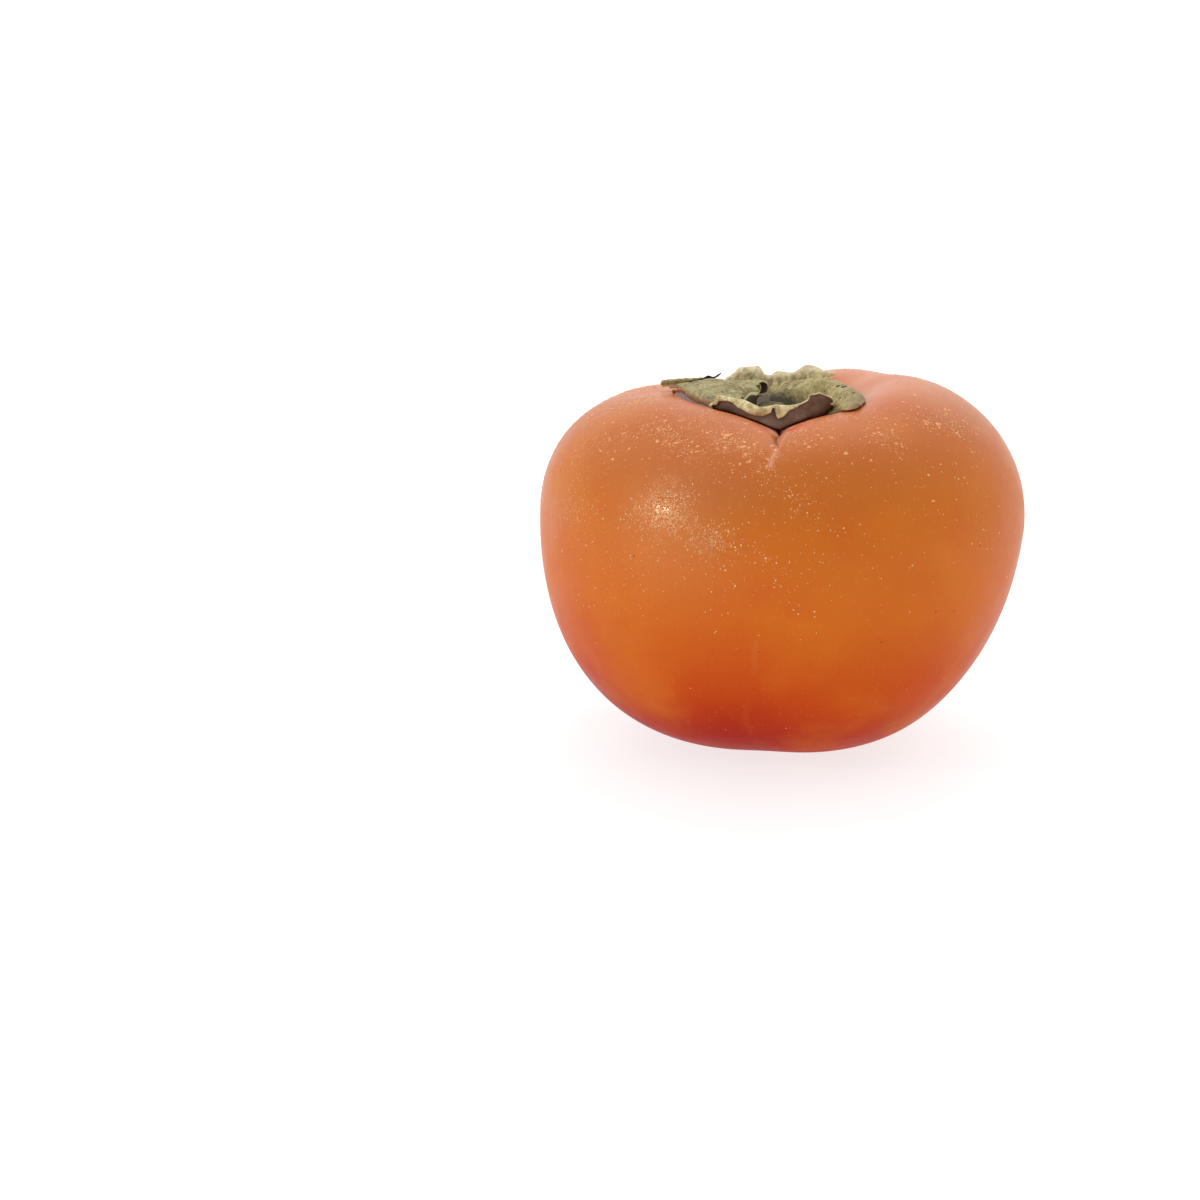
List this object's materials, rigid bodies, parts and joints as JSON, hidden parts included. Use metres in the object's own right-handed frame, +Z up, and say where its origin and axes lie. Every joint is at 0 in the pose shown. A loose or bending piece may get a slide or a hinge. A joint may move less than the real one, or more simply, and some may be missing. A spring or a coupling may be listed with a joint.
{
  "type": "persimmon",
  "caption": "Ripe persimmon fruit at rest, with its dried four-lobed calyx and cut stem stub sunk in the top cavity.",
  "frame": {"origin": "middle of the small flat spot that the fruit rests on, under its axis", "axes": "+Z up along the fruit's axis, from the blossom end to the stem; -Y towards the sharp crease at the front of the shoulder"},
  "size_m": [0.0849, 0.0819, 0.0642],
  "materials": {
    "skin": "waxy orange skin, semi-gloss, with fine dew drops",
    "calyx": "dry papery olive-tan leaf tissue, matt",
    "stem": "dry brown cut wood, matt"
  },
  "bodies": {
    "root": {"fruit": "skin", "calyx": "calyx", "stem_stub": "stem"}
  },
  "joints": []
}
